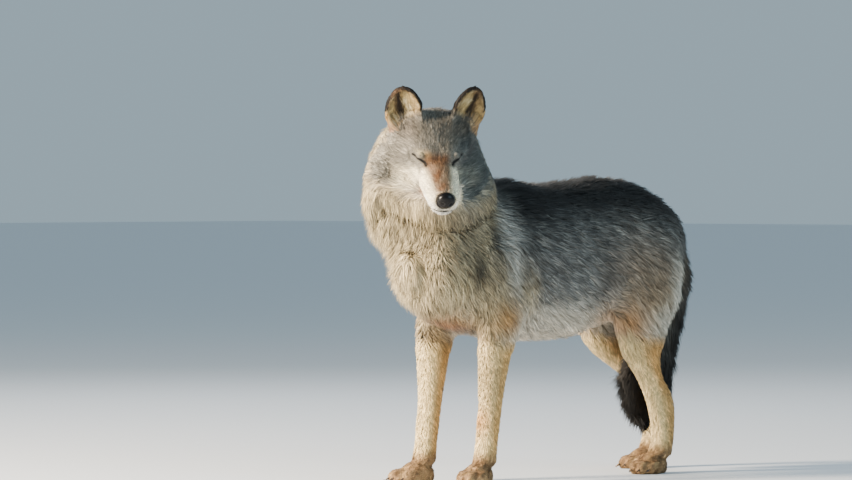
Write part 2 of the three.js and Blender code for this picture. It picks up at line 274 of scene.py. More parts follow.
# the coat's outside, eased. The ruff runs smoothly into the chest, and the head into the nape
OUTSIDE_EASING = 60
RUFF_EASING = 220
NAPE_BEHIND = 62
outer = spread(outer, OUTSIDE_EASING, 0.5 * ease)
ruff_foot = part("neck", "chest", "shoulder") * (outer[:, 1] < -0.2)
ruff_foot = ruff_foot * (outer[:, 2] > 0.4) * (outer[:, 2] < 0.64)
head_back = part("head", "neck") * (hy > NAPE_BEHIND)
outer = spread(outer, RUFF_EASING, 0.6 * soften(np.maximum(ruff_foot, head_back), 15, 0.6))
coat_normal = normals_of(outer)

# the skin, sunk below the coat's outside in steps. Where the sunk skin folds over itself the
# coat is made thinner, and where it still does, the skin comes up to just below the outside
SINK_STEPS = 8
FOLD_PASSES = 5
FOLD_TURN = 0.5
FOLD_THINNING = 0.4
THIN_COAT = 5
for _ in range(FOLD_PASSES):
    skin = outer.copy()
    for _ in range(SINK_STEPS):
        skin -= normals_of(skin) * (depth * MM / SINK_STEPS)[:, None]
        skin = spread(skin, 2, 0.5 * smooth(4, 14, depth))
    folded = ((coat_normal * normals_of(skin)).sum(1) < FOLD_TURN) & (depth > 3)
    near_fold = smooth(0.01, 0.2, soften(folded, 14, 0.7))
    depth = depth * (1 - FOLD_THINNING * near_fold)
still_folded = smooth(0.01, 0.3, soften(folded, 40, 0.7))
just_below = outer - coat_normal * (np.minimum(depth, THIN_COAT) * MM)[:, None]
skin = skin + (just_below - skin) * still_folded[:, None]
skin = spread(skin, 25, 0.6 * np.maximum(near_fold, still_folded))


# ---- lie of the coat -------------------------------------------------------------------
# The hair runs back from the nose over the face, down neck and legs, back along the trunk
# and down the tail. The direction is eased over the surface and laid flat on it.

NOSE_ROOT = np.array([0, -120, -20])  # the hair of the face runs away from here
LIE_EASING = 40
lie = np.zeros((count, 3))
for index, name in enumerate(flesh):
    here = owner == index
    way = COATS[name]["lie"]
    if way == "head":
        lie[here] = (at_head[here] - NOSE_ROOT) @ HEAD_AXES
    elif way == "ear":
        side = 1 if name == "ear_left" else -1
        lie[here] = np.array([side * 0.25, 0.1, 1]) @ HEAD_AXES
    else:
        lie[here] = way
skin_normal = normals_of(skin)
lie = laid_on(spread(unit(lie), LIE_EASING, 0.6), skin_normal)


# ---- face ------------------------------------------------------------------------------
# Both eyes are shut: lids of thin skin lie over the eyeballs and meet in a dark slanting
# slit. Lips of bare black skin meet in a line round the muzzle. Lengths in millimetres.

LID_RADIUS = 12.7
LID_BACK = 12
BROW_AT = np.array([43, -4, 17])
BROW_HALF = (20, 14, 6)
BROW_RISE = 2.6
SLIT = [(60, 12, 2.5), (54, 3, 2.2), (47, -5, 1.6), (39, -11, -0.8), (32, -15, -4.5),
        (28, -18, -11)]
SLIT_DEPTH = 1.3
SLIT_HALF_HEIGHT = 1.5
LIPS = [(0, -126, -65.5), (14, -122, -65), (27, -110, -63.5), (37, -90, -66), (43, -64, -73),
        (46, -50, -78)]
LIP_DEPTH = 3.0
LIP_HALF_HEIGHT = 2.8
FAR = 99.0
NOSE_HALF = np.array([21.5, 15.0, 21.5])


def patch(points, at, half_size, hardness=1.0):
    """1 in the middle of an egg-shaped patch and 0 well outside it."""
    away = (((points - np.array(at)) / np.array(half_size)) ** 2).sum(1)
    return np.exp(-away ** hardness)


def to_line(points, line):
    """Distance from each point to a line of short straight lengths."""
    line = np.array(line, float)
    best = np.full(len(points), 1e9)
    for a, b in zip(line[:-1], line[1:]):
        along = np.clip(((points - a) @ (b - a)) / (b - a).dot(b - a), 0, 1)
        best = np.minimum(best, np.linalg.norm(points - a - along[:, None] * (b - a), axis=1))
    return best


def band(distance, half_width):
    """1 on a line and 0 off it, with a soft edge."""
    return np.exp(-(distance / half_width) ** 4)


def on_skin(line, weights):
    """The line in lengths of about 3 mm, each point moved to the nearest place on the skin."""
    line = np.array(line, float)
    points = []
    for a, b in zip(line[:-1], line[1:]):
        lengths = max(int(np.linalg.norm(b - a) / 3), 1)
        points += [a + (b - a) * k / lengths for k in range(lengths)]
    points.append(line[-1])
    return [face[np.argmin((((face - p) * weights) ** 2).sum(1))] for p in points]


face = in_head(skin)
normal_at_head = skin_normal @ HEAD_AXES.T
slit_distance = np.full(count, FAR)
for side in (1, -1):
    mirror = np.array([side, 1, 1])
    from_eye = face - EYE_AT[side]
    reach = np.linalg.norm(from_eye, axis=1)
    over_ball = (reach < LID_RADIUS) & (from_eye[:, 1] < LID_BACK)
    lid = EYE_AT[side] + from_eye * (LID_RADIUS / reach)[:, None]
    face = np.where(over_ball[:, None], lid, face)
    slit = on_skin(np.array(SLIT) * mirror, (2, 1, 3))
    slit_distance = np.minimum(slit_distance, to_line(face, slit))
    # the brow stands over the eye
    brow = patch(face, BROW_AT * mirror, BROW_HALF)
    face = face + normal_at_head * (BROW_RISE * brow)[:, None]
slit_distance = np.where(face[:, 1] < 22, slit_distance, FAR)
groove = SLIT_DEPTH * np.exp(-(slit_distance / SLIT_HALF_HEIGHT) ** 2)
lips_round = [(-x, y, z) for x, y, z in reversed(LIPS[1:])] + LIPS
lip_distance = to_line(face, on_skin(lips_round, (1, 1, 4)))
groove = groove + LIP_DEPTH * np.exp(-(lip_distance / LIP_HALF_HEIGHT) ** 2)
face = face - normal_at_head * groove[:, None]
skin = from_head(face)
skin_normal = normals_of(skin)
lie = laid_on(lie, skin_normal)

# hair stays off the slit and the lips, and is shortest round them and the nose
SLIT_BARE = 4.2
LIPS_BARE = 6.0
nose_at = in_head(middle("nose"))
nose_distance = np.linalg.norm((face - nose_at) / NOSE_HALF, axis=1)
bare = np.maximum(band(slit_distance, SLIT_BARE), band(lip_distance, LIPS_BARE))
bare = np.maximum(bare, 1 - smooth(1.08, 1.28, nose_distance))
trim = np.where(on_head, 0.24 + 0.76 * smooth(16, 62, eye_distance), 1)
length = length * trim * (0.45 + 0.55 * smooth(4, 15, lip_distance))
width = width * np.where(on_head, 0.75 + 0.25 * smooth(12, 60, eye_distance), 1)


# ---- markings --------------------------------------------------------------------------
# A grey wolf in winter: cream wool with black-tipped hair over it. Each marking is a soft
# patch or line in place of the part's own colour, the same for skin and coat. It is given as
# its strength, the colours of wool and tips, and the share of black tips.

py, pz = outer.T[1:]


def mottle(points, size, seed):
    """Uneven soft cloud between -1 and 1, with lumps of about `size` metres."""
    waves = np.random.default_rng(seed)
    total = np.zeros(len(points))
    for _ in range(7):
        way = unit(waves.normal(size=3))
        total += np.sin(points @ way * (2 * np.pi / (size * waves.uniform(0.8, 2.2)))
                        + waves.uniform(0, 6.3))
    return total / 3.2


def mark(share, wool, tips, black):
    """Lays a marking of two colours over the coat, as strong as `share` at each point."""
    share = np.clip(share, 0, 1)[:, None]
    under[:] = under * (1 - share) + linear(wool) * share
    over[:] = over * (1 - share) + linear(tips) * share
    dark[:] = dark * (1 - share[:, 0]) + black * share[:, 0]


def both(points, at, half_size, hardness=1.0):
    """The same patch on the left and on the right."""
    mirrored = points * [-1, 1, 1]
    return np.maximum(patch(points, at, half_size, hardness),
                      patch(mirrored, at, half_size, hardness))


cloud = mottle(outer, 0.05, 1)
cloud_small = mottle(outer, 0.018, 2)
streak = mottle(outer * [1, 0.3, 0.8], 0.012, 3)
body = soften(part("chest", "belly", "hindquarters", "shoulder", "thigh"), 20, 0.6)
neck_part = soften(part("neck"), 20, 0.6)

# flanks darken upwards to a black saddle along the spine
height = pz + 0.012 * cloud
mark(body * (1 - smooth(0.36, 0.46, height)) * smooth(-0.30, -0.22, py),
     "#bdb4a2", "#c8bfad", 0.03)
mark(body * smooth(0.40, 0.56, height) * smooth(-0.32, -0.24, py), "#807e78", "#5d5e5d", 0.46)
mark(body * smooth(0.575, 0.685, height) * smooth(-0.28, -0.2, py), "#454340", "#212122", 0.8)
mark(body * smooth(0.66, 0.70, height) * smooth(-0.28, -0.2, py), "#262524", "#141414", 0.92)
mark(both(outer, (0.07, -0.15, 0.66), (0.09, 0.075, 0.095)) * body, "#141313", "#0a0a0b", 0.97)
mark(body * smooth(0.42, 0.5, height) * smooth(0.1, 0.9, streak) * 0.6, "#3b3a39", "#2a2a2b", 0.7)
mark(body * smooth(0.2, 0.9, -streak) * (1 - smooth(0.6, 0.66, pz)) * 0.5,
     "#aaa79e", "#9a988f", 0.15)
# a light band behind the shoulder, with a dark line in front of it
mark(both(outer, (0.12, -0.245, 0.55), (0.08, 0.026, 0.15)) * body, "#b4b1a8", "#a5a39a", 0.2)
mark(both(outer, (0.12, -0.298, 0.60), (0.07, 0.016, 0.12)) * 0.9, "#33312f", "#232324", 0.75)
# painted shade in the crease in front of the thigh, and the brown thigh, rusty at the knee, pale
# behind
mark(both(outer, (0.12, 0.112, 0.50), (0.08, 0.018, 0.10)) * body * 0.8, "#3d3a37", "#2f2e2d", 0.65)
mark(both(outer, (0.12, 0.25, 0.50), (0.09, 0.11, 0.085)) * 0.75, "#a08c76", "#86735e", 0.36)
mark(both(outer, (0.12, 0.19, 0.365), (0.08, 0.065, 0.05)) * 0.9, "#b98750", "#b27c45", 0.12)
mark(both(outer, (0.11, 0.395, 0.43), (0.08, 0.05, 0.10)), "#dcd5c4", "#d6cfbf", 0.06)
mark(patch(outer, (0.0, 0.40, 0.63), (0.10, 0.09, 0.07)) * 0.85, "#33302e", "#191818", 0.85)
mark(both(outer, (0.09, 0.455, 0.53), (0.05, 0.05, 0.06)) * 0.7, "#4b4743", "#2a2827", 0.7)

# shoulders and chest are cream, palest low on the chest, rusty between the forelegs, and
# dark in front of one elbow
mark(both(outer, (0.12, -0.33, 0.42), (0.09, 0.07, 0.10)) * 0.75, "#b5a583", "#ac9b79", 0.22)
mark(both(outer, (0.06, -0.42, 0.43), (0.08, 0.07, 0.05)) * 0.8, "#d9c8a3", "#d6c49d", 0.1)
mark(patch(outer, (0.0, -0.36, 0.355), (0.055, 0.07, 0.055)) * 0.9, "#a26f42", "#9b673c", 0.15)
mark(both(outer, (0.13, -0.262, 0.385), (0.05, 0.045, 0.04)) * 0.85, "#b3803f", "#ad7a3b", 0.15)
mark(patch(outer, (-0.078, -0.345, 0.362), (0.03, 0.03, 0.014)) * 0.95, "#2f2621", "#241d19", 0.6)

# legs: pale in front, tan at the sides and behind, speckled on the left foreleg
is_leg = soften(part("forearm", "shank", "hock"), 12, 0.6)
faces_front = smooth(-0.1, 0.7, -coat_normal[:, 1])
mark(is_leg * faces_front * 0.8, "#f0d79c", "#f6dfa6", 0.02)
mark(is_leg * smooth(0.2, 0.9, coat_normal[:, 1]) * 0.6 * (py > 0), "#87663f", "#7d5d3b", 0.25)
mark(patch(outer, (0.07, -0.285, 0.25), (0.05, 0.05, 0.09)) * 0.55, "#94805e", "#857253", 0.42)
mark(patch(outer, (0.058, -0.30, 0.145), (0.03, 0.03, 0.03)) * 0.75, "#c48644", "#c0813d", 0.05)
paw_top = 1 - smooth(0.05, 0.085, pz)
mark(paw_top * 0.85, "#a1805a", "#a6845d", 0.08)
mark(paw_top * smooth(0.0, 0.9, cloud_small) * 0.6, "#553b25", "#4c3521", 0.2)
mark(paw_top * smooth(0.1, 0.9, -cloud_small) * 0.4, "#c3a06c", "#c7a673", 0.03)

# neck: dark grey on the nape, cream in front, buff under the chin, with painted shade in dark grey on
# the left of the ruff and a painted shadow in the cleft at the foot of the ruff on the left
nape = neck_part * smooth(-0.15, 0.55, coat_normal @ unit(np.array([-0.35, 0.8, 0.55])))
nape = nape * smooth(0.60, 0.72, pz)
mark(neck_part * (0.5 + 0.5 * cloud_small) * 0.6, "#d9c79c", "#cfbb8e", 0.14)
mark(neck_part * smooth(-0.2, 0.9, cloud) * 0.45, "#a99b7d", "#94866a", 0.4)
mark(nape * 0.92, "#807c73", "#4b4946", 0.62)
# painted shade: the left of the ruff is dark grey, as if in shadow
mark(neck_part * patch(outer, (0.14, -0.40, 0.68), (0.075, 0.10, 0.15)) * 0.9,
     "#75746d", "#54554f", 0.5)
mark(neck_part * patch(face, (0, -60, -150), (60, 60, 50)) * 0.45, "#a8926a", "#9b855c", 0.35)
mark(neck_part * smooth(0.25, 0.9, cloud_small) * (1 - smooth(0.62, 0.7, pz)) * 0.6,
     "#8f8067", "#75684f", 0.5)
# painted shadow: a dark streak in the cleft where the ruff meets the chest on the left
mark(patch(outer, (0.118, -0.35, 0.50), (0.028, 0.02, 0.05)) * 0.9, "#26211c", "#1f1b18", 0.7)

# face: grizzled grey all round, pale brows, rusty brown bridge, white lips and cream cheeks
fx, fy, fz = face.T
crown = on_head * smooth(-8, 22, fz - 0.10 * fy + 0.12 * np.abs(fx))
mark(crown * 0.9, "#8f8778", "#6f685c", 0.58)
mark(on_head * patch(face, (0, 50, 60), (24, 60, 40)) * 0.6, "#5a554e", "#47433e", 0.6)
mark(on_head * (fx < 0) * 0.75, "#8c877c", "#716d64", 0.62)
mark(on_head * both(face, (68, 16, -70), (34, 36, 27), 2), "#f5ebcb", "#f5eaca", 0.02)
mark(on_head * both(face, (46, -6, -42), (27, 26, 18), 2), "#f5ebcb", "#f7edce", 0.02)
mark(on_head * both(face, (92, 40, -10), (22, 30, 34)) * 0.7, "#8d887c", "#6c685f", 0.45)
# painted shade: the left side of the head is darkened to a cool teal grey, as if in shadow
mark(on_head * smooth(16, 62, fx) * 0.8, "#4f5658", "#3a4143", 0.55)
mark(on_head * both(face, (60, 62, 40), (30, 34, 24)) * 0.8, "#6f6455", "#584e42", 0.5)
mark(both(face, (44, -4, 6), (17, 12, 8)) * 0.75, "#77736a", "#6f6b63", 0.5)
mark(patch(face, (-48, 3, 14), (15, 12, 5)) * 0.6, "#c6b78e", "#c8ba90", 0.1)
mark(patch(face, (-28, -5, 12), (11, 12, 9)) * 0.7, "#c09a62", "#b9935c", 0.12)
mark(patch(face, (39, -2, 15), (9, 9, 4.5)) * 0.25, "#b3b1a3", "#aaa89b", 0.2)
snout = part("muzzle", "jaw", "head")
mark(snout * smooth(14, 44, -fy) * (np.abs(fx) < 60) * 0.95, "#f2e5c2", "#f5e9ca", 0.02)
mark(snout * smooth(50, 84, -fy) * smooth(0.2, -0.5, normal_at_head[:, 2]) * 0.9,
     "#faf5e8", "#fcf8ee", 0.0)
bridge_half = 31 - 0.11 * np.clip(-fy - 30, 0, 90)
bridge = snout * (1 - smooth(bridge_half - 12, bridge_half + 6, np.abs(fx + 5)))
bridge = bridge * smooth(-0.3, 0.3, normal_at_head[:, 2])
bridge = bridge * smooth(0, 16, -fy + 4) * (1 - 0.4 * smooth(98, 116, -fy))
mark(bridge * (0.87 + 0.12 * cloud_small), "#785438", "#6f4c32", 0.16)
mark(patch(face, (-4, -22, 2), (26, 22, 22)) * snout * 0.6, "#72543b", "#6a4c34", 0.25)
mark(patch(face, (-30, -18, 6), (9, 9, 16)) * 0.5, "#a9763f", "#a26f3a", 0.1)
# painted shade: the left half of the bridge is a darker brown, as if in shadow
mark(bridge * patch(face, (18, -60, -8), (12, 50, 20)) * 0.7, "#57402b", "#4f3a28", 0.25)
slit_wide = 4.8 - 1.8 * smooth(32, 56, np.abs(fx))
mark(band(slit_distance, slit_wide), "#0a0807", "#0a0807", 0.0)
mark(part("muzzle", "jaw") * band(lip_distance, 4.6), "#120d0c", "#120d0c", 0.0)
mark(1 - smooth(1.12, 1.3, nose_distance), "#100e0f", "#100e0f", 0.0)

# ears: rusty grey behind with a broad dark rim, cream hair inside round the opening, which is painted
# dark as shade, with painted brown shade on its outer side
EAR_BINS = 40
EAR_MIDDLE = 0.42  # how far up the ear its middle is
OPENING = ((14, 0.78), (9, 0.5), (-6, 0.14))  # millimetres outwards, and share of the height
rim = np.zeros(count)
for side, name in ((1, "ear_left"), (-1, "ear_right")):
    mine = owner == flesh.index(name)
    here = soften(mine, 3, 0.5)
    ear_ends = np.percentile(side * fx[mine], [1, 99])
    foot, top = np.percentile(fz[mine], [1, 99])
    tall = top - foot
    ear_x = side * fx - ear_ends.mean()
    ear_z = fz - foot
    angle = np.arctan2(ear_z - EAR_MIDDLE * tall, ear_x)
    radius = np.hypot(ear_z - EAR_MIDDLE * tall, ear_x)
    ways = np.linspace(-np.pi, np.pi, EAR_BINS + 1)
    farthest = [radius[mine & (angle >= a) & (angle < b)].max(initial=20.0)
                for a, b in zip(ways[:-1], ways[1:])]
    edge_at = np.interp(angle, (ways[:-1] + ways[1:]) / 2, farthest, period=2 * np.pi)
    share_out = np.clip(radius / edge_at, 0, 1) * smooth(0.12 * tall, 0.3 * tall, ear_z)
    rim = np.maximum(rim, share_out * mine)
    inside = smooth(0.0, 0.4, -normal_at_head[:, 1] + 0.2 * side * normal_at_head[:, 0])
    mark(here * (1 - inside) * 0.8, "#806446", "#6a543d", 0.35)
    mark(here * inside, "#a8905f", "#b19a69", 0.08)
    mark(here * inside * smooth(0.2, 0.9, cloud_small) * 0.6, "#e0d2a8", "#e6dab4", 0.0)
    mark(here * inside * smooth(0.5, 0.85, share_out) * 0.6, "#8b7150", "#83694a", 0.15)
    mark(here * smooth(0.80, 0.90, share_out), "#1c1510", "#15100c", 0.3)
    flat_ear = np.column_stack([ear_x, ear_z, np.zeros(count)])
    gap = to_line(flat_ear, [(x, up * tall, 0) for x, up in OPENING])
    shaded_opening = band(gap, 11 - 5 * smooth(0.2 * tall, 0.8 * tall, ear_z))
    # painted shade: brown round the opening on its outer side
    mark(here * inside * band(gap, 17) * smooth(-8, 10, ear_x) * 0.8, "#5e4530", "#584029", 0.2)
    # painted shade: the opening itself, near black
    mark(here * inside * shaded_opening * 0.95, "#1a110b", "#1a110b", 0.1)
    bare = np.maximum(bare, mine * inside * shaded_opening * 0.85)
    mark(here * (1 - smooth(4, 30, ear_z)) * smooth(-5, 20, ear_x) * 0.7,
         "#a06a33", "#a06b38", 0.1)
    mark(patch(face, (side * 57, 44, 80), (15, 30, 18)) * 0.85, "#756a5b", "#5f5548", 0.5)


# ---- skin piece --------------------------------------------------------------------------
# Thin grey-tan hide with the shortest hair flat on it. It shows between the tufts on the
# face, legs and paws, and gives the coat its depth of colour elsewhere.

def add_node(material, kind, inputs=None, **settings):
    """Adds a node with its settings, and values or links for its inputs."""
    tree = material.node_tree
    node = tree.nodes.new(kind)
    for key, value in settings.items():
        setattr(node, key, value)
    for key, value in (inputs or {}).items():
        if isinstance(value, bpy.types.NodeSocket):
            tree.links.new(value, node.inputs[key])
        else:
            node.inputs[key].default_value = value
    return node


def new_material(name):
    material = bpy.data.materials.new(name)
    material.use_nodes = True
    material.node_tree.nodes.clear()
    return material


def close_material(material, shader):
    """Joins the shader to the material's output."""
    add_node(material, "ShaderNodeOutputMaterial", {"Surface": shader.outputs[0]})


def place(obj):
    bpy.context.scene.collection.objects.link(obj)
    return obj


CHART_GAP = 6 * MM


def unwrap(points, parts, facing):
    """Lays the surface out flat: a chart for each side of each part, packed in shelves."""
    axis = np.abs(facing).argmax(1)
    side = (facing[np.arange(len(axis)), axis] < 0) * 1
    chart = parts * 6 + axis * 2 + side
    boxes = []
    for c in np.unique(chart):
        here = np.flatnonzero(chart == c)
        kept = [k for k in range(3) if k != (c % 6) // 2]
        flat = points[here][:, kept]
        low = flat.min(0)
        size = flat.max(0) - low + CHART_GAP
        boxes.append((size[1], size[0], c, here, flat - low))
    boxes.sort(key=lambda b: (-b[0], b[2]))
    spare = 1.1
    shelf = max(spare * math.sqrt(sum(b[0] * b[1] for b in boxes)), max(b[1] for b in boxes))
    at = np.zeros(2)
    tallest = 0
    uv = np.zeros((len(points), 2))
    for tall, broad, _, here, flat in boxes:
        if at[0] + broad > shelf:
            at = np.array([0, at[1] + tallest])
            tallest = 0
        uv[here] = at + flat
        at = at + [broad, 0]
        tallest = max(tallest, tall)
    return uv * (0.98 / max(shelf, at[1] + tallest)) + 0.01


SKIN_TRIANGLES = 180000
hide_colour = (0.45 * under + 0.55 * over) * (1 - 0.35 * dark)[:, None]
skin[:, 2] = np.maximum(skin[:, 2], 0.0)
skin_mesh.vertices.foreach_set("co", skin.astype(np.float32).ravel())
shade = skin_mesh.color_attributes.new("coat_colour", "FLOAT_COLOR", "POINT")
shade.data.foreach_set("color", np.column_stack([hide_colour, np.ones(count)])
                       .astype(np.float32).ravel())
skin_mesh.update()
rough_skin = place(bpy.data.objects.new("skin_rough", skin_mesh))
thin_out = rough_skin.modifiers.new("fewer_faces", "DECIMATE")
thin_out.ratio = SKIN_TRIANGLES / len(triangles)
depsgraph = bpy.context.evaluated_depsgraph_get()
final_skin = bpy.data.meshes.new_from_object(rough_skin.evaluated_get(depsgraph))
final_skin.name = "skin"
bpy.data.objects.remove(rough_skin)
skin_piece = place(bpy.data.objects.new("skin", final_skin))
final_skin.polygons.foreach_set("use_smooth", np.ones(len(final_skin.polygons), bool))
loop_points = read(final_skin.vertices, "co", 3, np.float32)[
    read(final_skin.loops, "vertex_index", 1, np.int32)]
loop_totals = read(final_skin.polygons, "loop_total", 1, np.int32)
face_points = read(final_skin.polygons, "center", 3, np.float32)
face_parts = np.array([owners[tree.find_nearest(Vector(p))[2]] for p in face_points])
face_normals = read(final_skin.polygons, "normal", 3, np.float32)
flat_skin = final_skin.uv_layers.new(name="OFBake")
flat_skin.data.foreach_set("uv", unwrap(loop_points, np.repeat(face_parts, loop_totals),
                                        np.repeat(face_normals, loop_totals, axis=0))
                           .astype(np.float32).ravel())

# short hair lying flat on hide: dull, with a fine uneven grain. Real hairs are too fine to
# show, so the grain is drawn as coarse as a small lock
HAIR_GRAIN = 1 / (2.2 * MM)
hide = new_material("short_haired_hide")
where = add_node(hide, "ShaderNodeTexCoord").outputs["Object"]
coat_tint = add_node(hide, "ShaderNodeAttribute", attribute_name="coat_colour")
grain = add_node(hide, "ShaderNodeTexNoise", {"Vector": where, "Scale": HAIR_GRAIN, "Detail": 3.0})
fleck = add_node(hide, "ShaderNodeMapRange", {"Value": grain.outputs[0], "From Min": 0.3,
                                               "From Max": 0.7, "To Min": 0.72, "To Max": 1.18})
flecked = add_node(hide, "ShaderNodeVectorMath", {0: coat_tint.outputs["Color"],
                                                   1: fleck.outputs[0]}, operation="MULTIPLY")
nap = add_node(hide, "ShaderNodeBump", {"Height": grain.outputs[0], "Strength": 0.55,
                                        "Distance": 0.9 * MM})
close_material(hide, add_node(hide, "ShaderNodeBsdfPrincipled", {
    "Base Color": flecked.outputs[0], "Normal": nap.outputs[0], "Roughness": 0.78,
    "Specular IOR Level": 0.22}))
final_skin.materials.clear()
final_skin.materials.append(hide)
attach(skin_piece, "root")
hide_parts(*flesh)


# ---- coat ----------------------------------------------------------------------------------
# Winter coat: soft pale wool under long guard hairs, most of them tipped black on the back.
# The hairs stand together in tufts, and the tufts lean together into locks. Each tuft is a
# thin three-sided blade, rooted in the skin, rising to the coat's surface and lying along it.

BLACK_TIP = linear("#1a1918")
FULLNESS = 0.93
TUFT_LIMIT = 19500
LONGEST = 75
tail = part("tail")
# how far tufts stand over the coat's outside, in millimetres, and how loosely they lie
stand = 9 * neck_part + 3 * tail + 5 * part("tail_middle", "tail_tip")
stand += 9 * both(outer, (0.11, 0.41, 0.43), (0.08, 0.04, 0.10))
free = 0.35 * neck_part + 0.85 * tail + 0.15 * body
free += 0.4 * both(outer, (0.11, 0.41, 0.43), (0.08, 0.05, 0.12))
# longer hair inside the ears
inner_ear = part("ear_") * smooth(0.1, 0.5, -normal_at_head[:, 1]) * (1 - smooth(0.5, 0.8, rim))
length += 13 * inner_ear
stand += 4 * inner_ear
length = np.minimum(length * np.where(rim > 0.75, 0.6, 1), LONGEST)

skin_tree = KDTree(count)
for i, p in enumerate(skin):
    skin_tree.insert(p, i)
skin_tree.balance()

# a tuft: points 0 to 2 round its root, 3 to 5 round its middle and 6 at its tip
TUFT_POINTS = 7
SIDE_FACES = np.array([[0, 3, 4, 1], [1, 4, 5, 2], [2, 5, 3, 0]])
END_FACES = np.array([[3, 6, 4], [4, 6, 5], [5, 6, 3], [0, 1, 2]])
PATCH = 0.003
PATCH_POINTS = np.array([[-1, 0], [1, 0], [0, 0], [-1, 1], [1, 1], [0, 1], [0, 2]]) * PATCH / 2
# the colour of a tuft's tip is that of the place it lies on, but for ears and tail
keeps_colour = (rim > 0) | tail

# guard hair: smooth horn-like fibres, half dull in a mass, with a faint sheen along them
guard = new_material("winter_guard_hair")
where = add_node(guard, "ShaderNodeTexCoord").outputs["Object"]
coat_tint = add_node(guard, "ShaderNodeAttribute", attribute_name="coat_colour")
strands = add_node(guard, "ShaderNodeTexNoise", {"Vector": where, "Scale": HAIR_GRAIN, "Detail": 2.0})
fleck = add_node(guard, "ShaderNodeMapRange", {"Value": strands.outputs[0], "From Min": 0.3,
                                                "From Max": 0.7, "To Min": 0.85, "To Max": 1.12})
flecked = add_node(guard, "ShaderNodeVectorMath", {0: coat_tint.outputs["Color"],
                                                    1: fleck.outputs[0]}, operation="MULTIPLY")
close_material(guard, add_node(guard, "ShaderNodeBsdfPrincipled", {
    "Base Color": flecked.outputs[0], "Roughness": 0.62, "Specular IOR Level": 0.22,
    "Sheen Weight": 0.05, "Sheen Roughness": 0.4}))


